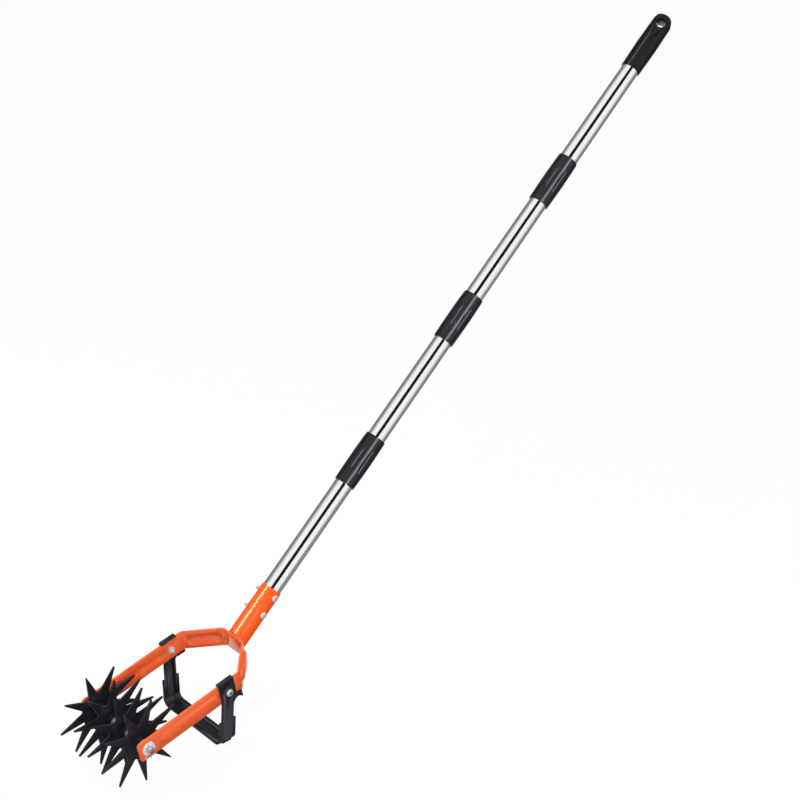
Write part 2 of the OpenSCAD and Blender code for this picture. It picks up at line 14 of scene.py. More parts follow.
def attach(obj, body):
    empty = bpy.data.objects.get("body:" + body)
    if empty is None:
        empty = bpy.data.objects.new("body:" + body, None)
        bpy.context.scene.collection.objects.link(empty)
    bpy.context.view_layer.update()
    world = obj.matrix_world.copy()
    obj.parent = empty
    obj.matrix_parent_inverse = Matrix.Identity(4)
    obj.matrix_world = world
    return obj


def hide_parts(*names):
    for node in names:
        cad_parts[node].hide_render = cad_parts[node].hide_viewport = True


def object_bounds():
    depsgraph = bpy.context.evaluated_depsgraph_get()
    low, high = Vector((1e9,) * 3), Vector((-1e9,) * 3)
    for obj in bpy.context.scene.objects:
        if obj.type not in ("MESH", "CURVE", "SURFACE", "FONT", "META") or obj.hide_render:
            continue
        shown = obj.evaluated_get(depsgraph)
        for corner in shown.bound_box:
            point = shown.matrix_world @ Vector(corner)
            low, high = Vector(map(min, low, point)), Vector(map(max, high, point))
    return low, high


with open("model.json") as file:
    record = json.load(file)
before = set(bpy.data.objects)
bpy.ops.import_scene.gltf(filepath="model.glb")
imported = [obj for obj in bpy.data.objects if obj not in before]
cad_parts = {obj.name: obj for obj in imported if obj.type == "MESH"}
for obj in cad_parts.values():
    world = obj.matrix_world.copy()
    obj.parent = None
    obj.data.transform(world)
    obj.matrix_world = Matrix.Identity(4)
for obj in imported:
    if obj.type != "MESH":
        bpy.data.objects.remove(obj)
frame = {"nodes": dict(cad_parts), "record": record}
cad_low, cad_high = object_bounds()
print("nodes:", len(frame["nodes"]), "box:", tuple(cad_low), tuple(cad_high))

# %% [markdown]
# The tool has two natural frames of its own. The head's frame has its origin on the axle, with Y
# along the fork's arms. The pole's frame has Z up the pole. The solid model's origin is the hang
# hole in the grip, so both are measured back from there. Two matrices carry a detail to its
# place, so that each can be drawn with the sizes that a maker would use.

# %% Frames of the head and of the pole
MM = 0.001
ARM_RISE = radians(9.2)
POLE_ANGLE = radians(29.8)
POLE_FOOT = 182 * MM
HANG_S = 1022 * MM

hang_point = Vector((0, POLE_FOOT + HANG_S * cos(POLE_ANGLE), HANG_S * sin(POLE_ANGLE)))
HEAD = Matrix.Rotation(ARM_RISE, 4, "X") @ Matrix.Translation(-hang_point)
POLE = HEAD @ Matrix.Translation((0, POLE_FOOT, 0)) @ Matrix.Rotation(POLE_ANGLE - pi / 2, 4, "X")
axle_at = HEAD @ Vector((0, 0, 0))
print("axle at", tuple(round(v, 4) for v in axle_at))

# %% [markdown]
# The photograph was taken from the right of the head, above it, with a long lens. The camera's
# place was worked out from the fork's edges and the pole's divisions, so the render can be laid
# over the photograph. That fit counts a pixel from its middle, and the lens is shifted by half a
# pixel to agree with it.

# %% Camera
PHOTO_PX = 800
FOCAL_PX = 1623.9
HALF_PIXEL = 0.5
SENSOR_MM = 36.0
FAR_CLIP = 50
CAMERA_AT = Vector((1352.7, -605.7, 1416.1)) * MM
CAMERA_RIGHT = Vector((0.69287, 0.71177, -0.11540))
CAMERA_UP = Vector((-0.34699, 0.46942, 0.81194))
CAMERA_BACK = Vector((0.63208, -0.52253, 0.57222))

camera_data = bpy.data.cameras.new("studio_camera")
camera_data.sensor_width = SENSOR_MM
camera_data.lens = FOCAL_PX / PHOTO_PX * SENSOR_MM
camera_data.shift_x = -HALF_PIXEL / PHOTO_PX
camera_data.shift_y = HALF_PIXEL / PHOTO_PX
camera_data.clip_end = FAR_CLIP
camera = bpy.data.objects.new("studio_camera", camera_data)
bpy.context.collection.objects.link(camera)
camera_in_head = Matrix((CAMERA_RIGHT, CAMERA_UP, CAMERA_BACK)).transposed().to_4x4()
camera_in_head.translation = CAMERA_AT
camera.matrix_world = HEAD @ camera_in_head
bpy.context.scene.camera = camera
print("camera at", tuple(round(v, 3) for v in camera.matrix_world.translation))

# %% [markdown]
# A studio picture on white needs a floor that reads as white and still takes a soft shadow. To
# the camera the floor shows mostly its own white, and the rest is a pale surface under the lamps.
# What it throws back up onto the tool is darker, so that the undersides stay shaded. Mirrors look
# past it into the white world, which the cards of a later step then shade.

# %% Floor
GROUND = cad_low[2]
FLOOR_HALF = 8
FLOOR_GAP = 0.0005
FLOOR_GLOW = 0.93
FLOOR_PAINT = 0.9
FLOOR_BOUNCE = 0.25


def new_material(name):
    material = bpy.data.materials.new(name)
    material.use_nodes = True
    material.node_tree.nodes.clear()
    return material, material.node_tree.nodes, material.node_tree.links


def stage_floor():
    material, nodes, links = new_material("white_floor")
    out = nodes.new("ShaderNodeOutputMaterial")
    mix = nodes.new("ShaderNodeMixShader")
    glow = nodes.new("ShaderNodeEmission")
    glow.inputs["Color"].default_value = (1, 1, 1, 1)
    paint = nodes.new("ShaderNodeBsdfDiffuse")
    path = nodes.new("ShaderNodeLightPath")
    bounce = nodes.new("ShaderNodeMapRange")
    bounce.inputs["To Min"].default_value = FLOOR_PAINT
    bounce.inputs["To Max"].default_value = FLOOR_BOUNCE
    links.new(path.outputs["Is Diffuse Ray"], bounce.inputs["Value"])
    links.new(bounce.outputs["Result"], paint.inputs["Color"])
    share = nodes.new("ShaderNodeMath")
    share.operation = "MULTIPLY"
    share.inputs[1].default_value = FLOOR_GLOW
    links.new(path.outputs["Is Camera Ray"], share.inputs[0])
    links.new(share.outputs[0], mix.inputs[0])
    links.new(paint.outputs[0], mix.inputs[1])
    links.new(glow.outputs[0], mix.inputs[2])
    links.new(mix.outputs[0], out.inputs["Surface"])
    mesh = bpy.data.meshes.new("floor")
    bm = bmesh.new()
    bmesh.ops.create_grid(bm, x_segments=1, y_segments=1, size=FLOOR_HALF)
    bmesh.ops.translate(bm, verts=bm.verts, vec=(0, 0, GROUND - FLOOR_GAP))
    bm.to_mesh(mesh)
    bm.free()
    mesh.materials.append(material)
    floor = bpy.data.objects.new("floor", mesh)
    bpy.context.collection.objects.link(floor)
    floor.visible_glossy = False
    return floor


print(stage_floor().name, "at", round(GROUND, 4))

# %% [markdown]
# The world is white where the camera or a mirror looks at it. As a light it is much weaker, so
# that the lamps give the tool its shape.

# %% World
SKY_LIGHT = 0.32
SKY_SEEN = 0.97

world = bpy.data.worlds.new("white_studio")
bpy.context.scene.world = world
world.use_nodes = True
world_nodes = world.node_tree.nodes
world_links = world.node_tree.links
world_nodes.clear()
sky = world_nodes.new("ShaderNodeBackground")
sky.inputs["Color"].default_value = (1, 1, 1, 1)
sky_path = world_nodes.new("ShaderNodeLightPath")
sky_seen = world_nodes.new("ShaderNodeMath")
sky_seen.operation = "MAXIMUM"
world_links.new(sky_path.outputs["Is Camera Ray"], sky_seen.inputs[0])
world_links.new(sky_path.outputs["Is Glossy Ray"], sky_seen.inputs[1])
sky_strength = world_nodes.new("ShaderNodeMapRange")
sky_strength.inputs["To Min"].default_value = SKY_LIGHT
sky_strength.inputs["To Max"].default_value = SKY_SEEN
world_links.new(sky_seen.outputs[0], sky_strength.inputs["Value"])
world_links.new(sky_strength.outputs["Result"], sky.inputs["Strength"])
world_out = world_nodes.new("ShaderNodeOutputWorld")
world_links.new(sky.outputs[0], world_out.inputs["Surface"])
bpy.context.scene.view_settings.view_transform = "Standard"
print("world:", world.name)

# %% [markdown]
# Large soft lamps stand in for the light tents of a product studio: a broad one above, one on
# the camera's left, and one beside the camera on its right, which lights the near arm.

# %% Lamps
TOOL_AIM = (0, -0.7, -0.4)


def area_lamp(name, width, height, watts):
    data = bpy.data.lights.new(name, "AREA")
    data.shape = "RECTANGLE"
    data.size = width
    data.size_y = height
    data.energy = watts
    lamp = bpy.data.objects.new(name, data)
    bpy.context.collection.objects.link(lamp)
    return lamp


def soft_lamp(name, at, towards, width, height, watts):
    lamp = area_lamp(name, width, height, watts)
    lamp.location = at
    lamp.rotation_euler = (Vector(towards) - Vector(at)).to_track_quat("-Z", "Y").to_euler()
    return lamp


soft_lamps = [
    soft_lamp("top_lamp", at=(0.2, -0.5, 2.4), towards=(0, -0.5, -0.4),
              width=2.0, height=2.0, watts=52),
    soft_lamp("left_lamp", at=(-1.6, -2.4, 0.9), towards=TOOL_AIM,
              width=1.4, height=1.4, watts=34),
    soft_lamp("right_lamp", at=(2.2, -1.9, 0.8), towards=TOOL_AIM,
              width=1.0, height=1.4, watts=49)]
print("lamps:", [lamp.name for lamp in soft_lamps])

# %% [markdown]
# The bright tubes are mirrors, so what they show is the studio. In the photograph a black line
# runs along the middle of every tube and both edges fall to dark grey. Cards do that in a real
# studio: a black one at the lens, in line with the pole, and a shaded one on each side of it. They
# show only in reflections. A card keeps its own turn, so its shades can run along its own X.

# %% Cards for the tubes
POLE_MIDDLE_S = 0.5
LENS_GAP = 0.1
LENS_HALF = radians(18)
LENS_SHADE = 0.012
SIDE_TURN = radians(105)
SIDE_HALF = radians(45)
SIDE_DISTANCE = 0.9
SIDE_LENGTH = 6.0
NEAR_TO_FAR = [(0.0, 1.0), (0.11, 0.85), (0.28, 0.55), (0.43, 0.29), (0.6, 0.17), (1.0, 0.22)]
FAR_TO_NEAR = [(1 - share, shade) for share, shade in reversed(NEAR_TO_FAR)]

pole_middle = POLE @ Vector((0, 0, POLE_MIDDLE_S))
pole_direction = (POLE.to_3x3() @ Vector((0, 0, 1))).normalized()
from_pole = camera.matrix_world.translation - pole_middle
from_pole -= from_pole.dot(pole_direction) * pole_direction
lens_distance = from_pole.length
from_pole.normalize()
across = pole_direction.cross(from_pole)


def beside_pole(turn, distance):
    outward = cos(turn) * from_pole + sin(turn) * across
    side = -sin(turn) * from_pole + cos(turn) * across
    place = Matrix((side, pole_direction, outward)).transposed().to_4x4()
    place.translation = pole_middle + outward * distance
    return place


def studio_card(name, turn, distance, half_angle, length, shades):
    width = 2 * distance * tan(half_angle)
    material, nodes, links = new_material(name)
    out = nodes.new("ShaderNodeOutputMaterial")
    paint = nodes.new("ShaderNodeEmission")
    place = nodes.new("ShaderNodeTexCoord")
    split = nodes.new("ShaderNodeSeparateXYZ")
    spread = nodes.new("ShaderNodeMapRange")
    spread.inputs["From Min"].default_value = -width / 2
    spread.inputs["From Max"].default_value = width / 2
    ramp = nodes.new("ShaderNodeValToRGB")
    stops = ramp.color_ramp.elements
    for number, (share, shade) in enumerate(shades):
        stop = stops[number] if number < 2 else stops.new(share)
        stop.position = share
        stop.color = (shade, shade, shade, 1)
    links.new(place.outputs["Object"], split.inputs[0])
    links.new(split.outputs["X"], spread.inputs["Value"])
    links.new(spread.outputs["Result"], ramp.inputs["Fac"])
    links.new(ramp.outputs["Color"], paint.inputs["Color"])
    links.new(paint.outputs[0], out.inputs["Surface"])
    mesh = bpy.data.meshes.new(name)
    bm = bmesh.new()
    bmesh.ops.create_grid(bm, x_segments=1, y_segments=1, size=0.5)
    bmesh.ops.scale(bm, verts=bm.verts, vec=(width, length, 1))
    bm.to_mesh(mesh)
    bm.free()
    mesh.materials.append(material)
    card = bpy.data.objects.new(name, mesh)
    card.matrix_world = beside_pole(turn, distance)
    bpy.context.collection.objects.link(card)
    card.visible_camera = False
    card.visible_diffuse = False
    card.visible_transmission = False
    card.visible_shadow = False
    return card


cards = [
    studio_card("lens_card", turn=0.0, distance=lens_distance + LENS_GAP, half_angle=LENS_HALF,
                length=5.0, shades=[(0.0, LENS_SHADE), (1.0, LENS_SHADE)]),
    studio_card("right_card", turn=SIDE_TURN, distance=SIDE_DISTANCE, half_angle=SIDE_HALF,
                length=SIDE_LENGTH, shades=NEAR_TO_FAR),
    studio_card("left_card", turn=-SIDE_TURN, distance=SIDE_DISTANCE, half_angle=SIDE_HALF,
                length=SIDE_LENGTH, shades=FAR_TO_NEAR)]
print("cards:", [card.name for card in cards], "lens distance", round(lens_distance, 3))

# %% [markdown]
# Two effects are shared by all the finishes. Uneven tone lets two close colours and two degrees of
# gloss drift over a surface, and shows a third colour where a face carries the edge value: a
# painted highlight along most rounded edges, and painted shade in the recess of a screw. Later
# steps write that value.
# Fine grain breaks up a gloss so that it isn't a perfect mirror. Each is a node group with its own
# inputs.

# %% Shared finish groups
FLOAT, COLOR = "NodeSocketFloat", "NodeSocketColor"
EDGE = "edge"


def group_with(name, inputs, outputs):
    group = bpy.data.node_groups.new(name, "ShaderNodeTree")
    for label, kind, value in inputs:
        socket = group.interface.new_socket(label, in_out="INPUT", socket_type=kind)
        socket.default_value = value
    for label, kind in outputs:
        group.interface.new_socket(label, in_out="OUTPUT", socket_type=kind)
    return group, group.nodes.new("NodeGroupInput"), group.nodes.new("NodeGroupOutput")


def by_id(sockets, identifier):
    return next(socket for socket in sockets if socket.identifier == identifier)


tone_group, tone_in, tone_out = group_with(
    "uneven_tone",
    [("Tone A", COLOR, (1, 1, 1, 1)), ("Tone B", COLOR, (0, 0, 0, 1)),
     ("Painted Light Tone", COLOR, (1, 1, 1, 1)), ("Scale", FLOAT, 60.0),
     ("Rough Low", FLOAT, 0.25), ("Rough High", FLOAT, 0.4)],
    [("Color", COLOR), ("Roughness", FLOAT)])
link_tone = tone_group.links.new
tone_place = tone_group.nodes.new("ShaderNodeTexCoord")
tone_noise = tone_group.nodes.new("ShaderNodeTexNoise")
tone_noise.inputs["Detail"].default_value = 4
link_tone(tone_place.outputs["Object"], tone_noise.inputs["Vector"])
link_tone(tone_in.outputs["Scale"], tone_noise.inputs["Scale"])
tone_mix = tone_group.nodes.new("ShaderNodeMix")
tone_mix.data_type = "RGBA"
link_tone(tone_noise.outputs["Fac"], by_id(tone_mix.inputs, "Factor_Float"))
link_tone(tone_in.outputs["Tone A"], by_id(tone_mix.inputs, "A_Color"))
link_tone(tone_in.outputs["Tone B"], by_id(tone_mix.inputs, "B_Color"))
# The edge value mixes in the painted highlight of the edges and the painted shade of screw
# recesses.
painted_light_value = tone_group.nodes.new("ShaderNodeAttribute")
painted_light_value.attribute_name = EDGE
painted_light_mix = tone_group.nodes.new("ShaderNodeMix")
painted_light_mix.data_type = "RGBA"
link_tone(painted_light_value.outputs["Fac"], by_id(painted_light_mix.inputs, "Factor_Float"))
link_tone(by_id(tone_mix.outputs, "Result_Color"), by_id(painted_light_mix.inputs, "A_Color"))
link_tone(tone_in.outputs["Painted Light Tone"], by_id(painted_light_mix.inputs, "B_Color"))
link_tone(by_id(painted_light_mix.outputs, "Result_Color"), tone_out.inputs["Color"])
tone_range = tone_group.nodes.new("ShaderNodeMapRange")
link_tone(tone_noise.outputs["Fac"], tone_range.inputs["Value"])
link_tone(tone_in.outputs["Rough Low"], tone_range.inputs["To Min"])
link_tone(tone_in.outputs["Rough High"], tone_range.inputs["To Max"])
link_tone(tone_range.outputs["Result"], tone_out.inputs["Roughness"])

grain_group, grain_in, grain_out = group_with(
    "fine_grain", [("Scale", FLOAT, 900.0)], [("Height", FLOAT)])
link_grain = grain_group.links.new
grain_place = grain_group.nodes.new("ShaderNodeTexCoord")
grain_noise = grain_group.nodes.new("ShaderNodeTexNoise")
grain_noise.inputs["Detail"].default_value = 2
link_grain(grain_place.outputs["Object"], grain_noise.inputs["Vector"])
link_grain(grain_in.outputs["Scale"], grain_noise.inputs["Scale"])
link_grain(grain_noise.outputs["Fac"], grain_out.inputs["Height"])
print("groups:", [g.name for g in bpy.data.node_groups])

# %% [markdown]
# Each finish is one material, and one function makes them all: gloss paint for the fork and a
# deeper one for the socket, satin black for the wheels and a glossier one for the hoe, polished
# tube, zinc and steel for the small pieces, and moulded black plastic for the grip and the
# couplers. They differ in colour, gloss and the scale of their grain.

# %% Maker of finishes
COAT_IOR = 1.62
GRAIN_HEIGHT = 0.0002


def finish(name, tones, painted_light_tone, tone_scale, rough, grain_scale, grain_depth,
           specular=0.5, metal=0.0, coat=0.0, coat_rough=0.06, gloss_tone=(1, 1, 1)):
    material, nodes, links = new_material(name)
    out = nodes.new("ShaderNodeOutputMaterial")
    skin = nodes.new("ShaderNodeBsdfPrincipled")
    skin.inputs["Metallic"].default_value = metal
    skin.inputs["Specular IOR Level"].default_value = specular
    skin.inputs["Specular Tint"].default_value = (*gloss_tone, 1)
    skin.inputs["Coat Weight"].default_value = coat
    skin.inputs["Coat Roughness"].default_value = coat_rough
    skin.inputs["Coat IOR"].default_value = COAT_IOR
    tone = nodes.new("ShaderNodeGroup")
    tone.node_tree = tone_group
    tone.inputs["Tone A"].default_value = (*tones[0], 1)
    tone.inputs["Tone B"].default_value = (*tones[1], 1)
    tone.inputs["Painted Light Tone"].default_value = (*painted_light_tone, 1)
    tone.inputs["Scale"].default_value = tone_scale
    tone.inputs["Rough Low"].default_value = rough[0]
    tone.inputs["Rough High"].default_value = rough[1]
    links.new(tone.outputs["Color"], skin.inputs["Base Color"])
    links.new(tone.outputs["Roughness"], skin.inputs["Roughness"])
    grain = nodes.new("ShaderNodeGroup")
    grain.node_tree = grain_group
    grain.inputs["Scale"].default_value = grain_scale
    bump = nodes.new("ShaderNodeBump")
    bump.inputs["Strength"].default_value = grain_depth
    bump.inputs["Distance"].default_value = GRAIN_HEIGHT
    links.new(grain.outputs["Height"], bump.inputs["Height"])
    links.new(bump.outputs["Normal"], skin.inputs["Normal"])
    links.new(skin.outputs["BSDF"], out.inputs["Surface"])
    return material


print("coat index:", COAT_IOR)

# %% [markdown]
# The list of finishes comes next. The record names a slot for every node, and each slot has its
# usual finish. A few nodes then get one of their own, because the photograph shows them glossier,
# duller or brighter than their neighbours.

# %% Finishes
# The edge colour of each finish goes on its rounded edges. On the paints, the black coats and the
# plastics it is lighter than the body: a painted highlight along the edges.
orange_paint = finish(
    "orange_paint", tones=[(0.93, 0.135, 0.026), (0.88, 0.12, 0.022)],
    painted_light_tone=(0.96, 0.2, 0.06), tone_scale=40, rough=(0.3, 0.4),
    grain_scale=700, grain_depth=0.03, specular=0.0, coat=1.0)
socket_paint = finish(
    "socket_paint", tones=[(0.95, 0.112, 0.01), (0.91, 0.1, 0.008)],
    painted_light_tone=(0.96, 0.2, 0.06), tone_scale=40, rough=(0.3, 0.4),
    grain_scale=700, grain_depth=0.0, specular=0.0, coat=0.22, coat_rough=0.22)
black_coat = finish(
    "black_coat", tones=[(0.0105, 0.0104, 0.0152), (0.0145, 0.0143, 0.0195)],
    painted_light_tone=(0.035, 0.035, 0.04), tone_scale=90, rough=(0.3, 0.42),
    grain_scale=1500, grain_depth=0.12, specular=0.24, gloss_tone=(0.9, 0.91, 1.0))
hoe_coat = finish(
    "hoe_coat", tones=[(0.0075, 0.008, 0.0125), (0.0105, 0.011, 0.016)],
    painted_light_tone=(0.09, 0.09, 0.1), tone_scale=90, rough=(0.24, 0.34),
    grain_scale=1500, grain_depth=0.06, specular=0.38, gloss_tone=(0.92, 0.93, 1.0))
polished_tube = finish(
    "polished_tube", tones=[(0.94, 0.94, 0.95), (0.9, 0.9, 0.91)],
    painted_light_tone=(0.7, 0.7, 0.71), tone_scale=30, rough=(0.07, 0.11),
    grain_scale=900, grain_depth=0.02, metal=1.0)
zinc_plate = finish(
    "zinc_plate", tones=[(0.86, 0.87, 0.89), (0.74, 0.75, 0.77)],
    painted_light_tone=(0.9, 0.91, 0.93), tone_scale=250, rough=(0.22, 0.36),
    grain_scale=1200, grain_depth=0.08, metal=0.65)
# The screws' edge colour is near black: painted shade in their cross recesses.
zinc_screw = finish(
    "zinc_screw", tones=[(0.86, 0.87, 0.89), (0.74, 0.75, 0.77)],
    painted_light_tone=(0.02, 0.02, 0.023), tone_scale=250, rough=(0.2, 0.3),
    grain_scale=1200, grain_depth=0.05, metal=0.65)
bright_zinc = finish(
    "bright_zinc", tones=[(0.95, 0.95, 0.96), (0.86, 0.87, 0.89)],
    painted_light_tone=(0.6, 0.6, 0.62), tone_scale=250, rough=(0.18, 0.3),
    grain_scale=1200, grain_depth=0.05, metal=0.35)
dull_steel = finish(
    "dull_steel", tones=[(0.6, 0.6, 0.62), (0.4, 0.4, 0.42)],
    painted_light_tone=(0.9, 0.9, 0.92), tone_scale=250, rough=(0.18, 0.3),
    grain_scale=1200, grain_depth=0.05, metal=1.0)
grip_plastic = finish(
    "grip_plastic", tones=[(0.005, 0.0047, 0.0075), (0.008, 0.0075, 0.011)],
    painted_light_tone=(0.025, 0.025, 0.03), tone_scale=60, rough=(0.16, 0.22),
    grain_scale=1100, grain_depth=0.02, specular=0.28, gloss_tone=(0.95, 0.93, 1.0))
coupler_plastic = finish(
    "coupler_plastic", tones=[(0.006, 0.0056, 0.0095), (0.009, 0.0084, 0.0135)],
    painted_light_tone=(0.025, 0.025, 0.03), tone_scale=60, rough=(0.1, 0.16),
    grain_scale=500, grain_depth=0.01, specular=0.5, gloss_tone=(0.9, 0.87, 1.0))

couplers = ["coupler_%d" % number for number in (1, 2, 3)]
pole_tubes = ["pole_tube_%d" % number for number in (1, 2, 3, 4)]
finish_of_slot = {"orange_paint": orange_paint, "black_coat": black_coat, "zinc": zinc_plate,
                  "bright_steel": polished_tube, "black_plastic": grip_plastic}
finish_of_node = {"axle": dull_steel, "axle_washer": bright_zinc,
                  "socket_tube": socket_paint, "stirrup_hoe": hoe_coat}
finish_of_node.update(dict.fromkeys(couplers, coupler_plastic))
record = frame["record"]
slot_of_node = {row["node"]: row["material_slot"] for row in record["subparts"]}
body_of_node = {node_name: body for body, members in record["behaviour"]["bodies"].items()
                for node_name in members}
for node_name, node_object in frame["nodes"].items():
    node_object.data.materials.clear()
    node_object.data.materials.append(finish_of_slot[slot_of_node[node_name]])
print("slots:", sorted(finish_of_slot), "nodes apart:", sorted(finish_of_node))

# %% [markdown]
# The solids have dead sharp edges, and no pressed, moulded or painted edge is sharp. So each node
# that shows gets a dressed copy. Its loose triangles are merged, flat neighbours are joined into
# one face, the sharp edges get a small bevel that carries the edge value, and the curved faces
# are shaded smooth. On most finishes that value paints a highlight along the bevel. The couplers'
# copies are also turned a little about the pole, so that their flutes meet the light as they do in
# the photograph. The copy then stands for the node.

# %% Dressed copies of the solids
MERGE = 1e-6
FLAT_ANGLE = radians(0.6)
SHARP_ANGLE = radians(32)
BEVEL_STEPS = 2
COUPLER_TURN = radians(-23)


def add_piece(name, bm, material, body):
    mesh = bpy.data.meshes.new(name)
    bm.to_mesh(mesh)
    bm.free()
    mesh.materials.append(material)
    mesh.polygons.foreach_set("use_smooth", [True] * len(mesh.polygons))
    mesh.set_sharp_from_angle(angle=SHARP_ANGLE)
    piece = bpy.data.objects.new(name, mesh)
    bpy.context.collection.objects.link(piece)
    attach(piece, body)
    return piece


def round_off(bm, edge_mm):
    painted_sheen = bm.faces.layers.float.get(EDGE)
    sharp = [e for e in bm.edges if e.is_manifold and e.calc_face_angle() > SHARP_ANGLE]
    rounded = bmesh.ops.bevel(bm, geom=sharp, offset=edge_mm * MM, offset_type="OFFSET",
                              segments=BEVEL_STEPS, profile=0.5, affect="EDGES", material=-1,
                              clamp_overlap=True)
    # The bevel faces get the edge value, which paints a highlight along them on most finishes.
    for face in rounded["faces"]:
        face[painted_sheen] = 1.0


def dress(node_name, edge_mm):
    bm = bmesh.new()
    bm.from_mesh(frame["nodes"][node_name].data)
    bmesh.ops.remove_doubles(bm, verts=bm.verts, dist=MERGE)
    bmesh.ops.dissolve_limit(bm, angle_limit=FLAT_ANGLE, verts=bm.verts, edges=bm.edges)
    if node_name in couplers:
        turned = POLE @ Matrix.Rotation(COUPLER_TURN, 4, "Z") @ POLE.inverted()
        bmesh.ops.transform(bm, matrix=turned, verts=bm.verts)
    bm.faces.layers.float.new(EDGE)
    if edge_mm:
        round_off(bm, edge_mm)
    slot = slot_of_node[node_name]
    material = finish_of_node.get(node_name, finish_of_slot[slot])
    piece = add_piece(node_name + "_dressed", bm, material, body_of_node[node_name])
    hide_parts(node_name)
    return piece


edge_of_node = {"fork": 0.35, "socket_tube": 0.25, "stirrup_hoe": 0.4, "end_grip": 1.2,
                "axle": 0.4, "axle_washer": 0.25, "axle_spacers": 0.3, "split_pin": 0}
for number in (1, 2, 3, 4):
    edge_of_node["star_wheel_%d" % number] = 0.3
    edge_of_node["pole_tube_%d" % number] = 0.15
    edge_of_node["wheel_bush_%d" % number] = 0.2
    if number < 4:
        edge_of_node["coupler_%d" % number] = 0.5
dressed = {}
for node_name, edge_mm in edge_of_node.items():
    dressed[node_name] = dress(node_name, edge_mm)
    print(dressed[node_name].name, len(dressed[node_name].data.polygons), "faces")

# %% [markdown]
# The solids have plain screws. A real one has a domed pan head with a cross recess and a thread on
# its tail. The body is a half outline spun round once, the thread is a small triangle spun round
# many times while it climbs, and the recess is two tapered blades cut out of the head. First come
# the tools for turning and cutting.

# %% Turning and cutting
SPIN_STEPS = 32


def as_object(bm):
    mesh = bpy.data.meshes.new("cutting")
    bm.to_mesh(mesh)
    bm.free()
    thing = bpy.data.objects.new("cutting", mesh)
    bpy.context.collection.objects.link(thing)
    return thing


def carve(bm, blade, operation="DIFFERENCE"):
    whole, tool = as_object(bm), as_object(blade)
    knife = whole.modifiers.new("knife", "BOOLEAN")
    knife.operation = operation
    knife.solver = "EXACT"
    knife.object = tool
    left = bmesh.new()
    left.from_mesh(whole.evaluated_get(bpy.context.evaluated_depsgraph_get()).to_mesh())
    for thing in (whole, tool):
        mesh = thing.data
        bpy.data.objects.remove(thing)
        bpy.data.meshes.remove(mesh)
    return left


def join_line(bm, points):
    corners = [bm.verts.new(point) for point in points]
    return corners + [bm.edges.new(pair) for pair in zip(corners, corners[1:])]


def lathe(outline):
    bm = bmesh.new()
    line = join_line(bm, [(radius, 0, height) for radius, height in outline])
    bmesh.ops.spin(bm, geom=line, cent=(0, 0, 0), axis=(0, 0, 1), angle=2 * pi, steps=SPIN_STEPS,
                   use_merge=True)
    bmesh.ops.remove_doubles(bm, verts=bm.verts, dist=MERGE)
    bmesh.ops.recalc_face_normals(bm, faces=bm.faces)
    return bm


def pour_into(bm, part, place):
    bmesh.ops.transform(part, matrix=place, verts=part.verts)
    mesh = bpy.data.meshes.new("poured")
    part.to_mesh(mesh)
    part.free()
    bm.from_mesh(mesh)
    bpy.data.meshes.remove(mesh)


print("steps round a turned piece:", SPIN_STEPS)

# %% [markdown]
# A screw is given by its diameter, head, length, thread and pitch, and the rest are shares of
# these. The faces inside the recess lie under the dome, and they get the edge value, which the
# finish of the screws shows as dark: painted shade in the recess.

# %% Parts of a screw
THREAD_STEPS = 14
THREAD_DEPTH = 0.55
DOME_STEPS = 6
HEAD_HEIGHT = 0.62
RECESS_SIZE = (0.85, 0.25, 1.3)
RECESS_TAPER = (0.3, 0.6, 1)
RECESS_REACH = 0.42
RECESS_SKIN = 0.05


def dome_height(radius, head_d, head_h):
    return head_h - head_d + (head_d ** 2 - radius ** 2) ** 0.5


def recess_blade(head_d, head_h, turn):
    length, width, depth = RECESS_SIZE
    bm = bmesh.new()
    blade = bmesh.ops.create_cube(bm, size=1)["verts"]
    bmesh.ops.scale(bm, verts=[v for v in blade if v.co.z < 0], vec=RECESS_TAPER)
    bmesh.ops.scale(bm, verts=blade, vec=(length * head_d, width * head_d, depth * head_h))
    bmesh.ops.translate(bm, verts=blade, vec=(0, 0, head_h))
    bmesh.ops.rotate(bm, verts=blade, cent=(0, 0, 0), matrix=Matrix.Rotation(turn, 3, "Z"))
    return bm


# Marks the recess faces for the screws' painted shade.
def mark_recess(bm, head_d, head_h):
    shaded = bm.faces.layers.float.new(EDGE)
    for face in bm.faces:
        middle = face.calc_center_median()
        radius = middle.xy.length
        if radius < RECESS_REACH * head_d:
            skin = dome_height(radius, head_d, head_h) - RECESS_SKIN * head_d
            if 0 < middle.z < skin:
                face[shaded] = 1.0


def thread(d, core_r, pitch, low, length):
    bm = bmesh.new()
    turns = length / pitch - 1
    steps = int(turns * THREAD_STEPS)
    ridge = join_line(bm, [(core_r, 0, low), (d / 2, 0, low + pitch / 2), (core_r, 0, low + pitch)])
    bmesh.ops.spin(bm, geom=ridge, cent=(0, 0, 0), axis=(0, 0, 1),
                   dvec=(0, 0, turns * pitch / steps), angle=2 * pi * turns, steps=steps)
    bmesh.ops.recalc_face_normals(bm, faces=bm.faces)
    return bm


def pan_screw(bm, place, turn, d, head_d, length, thread_l, pitch):
    head_h = HEAD_HEIGHT * d
    core_r = d / 2 - THREAD_DEPTH * pitch
    radii = [head_d / 2 * step / DOME_STEPS for step in range(DOME_STEPS + 1)]
    dome = [(radius, dome_height(radius, head_d, head_h)) for radius in radii]
    tail = [(head_d / 2, 0), (d / 2, 0), (d / 2, thread_l - length), (core_r, thread_l - length),
            (core_r, -length), (0, -length)]
    body = lathe(dome + tail)
    for quarter in (0, pi / 2):
        body = carve(body, recess_blade(head_d, head_h, turn + quarter))
    mark_recess(body, head_d, head_h)
    pour_into(bm, body, place)
    pour_into(bm, thread(d, core_r, pitch, -length, thread_l), place)


print("steps round a thread:", THREAD_STEPS)

# %% [markdown]
# Two screws cross the socket and hold the pole in it, with their heads on the side of the split
# pin. One more on each arm holds the hoe, with its head outside.

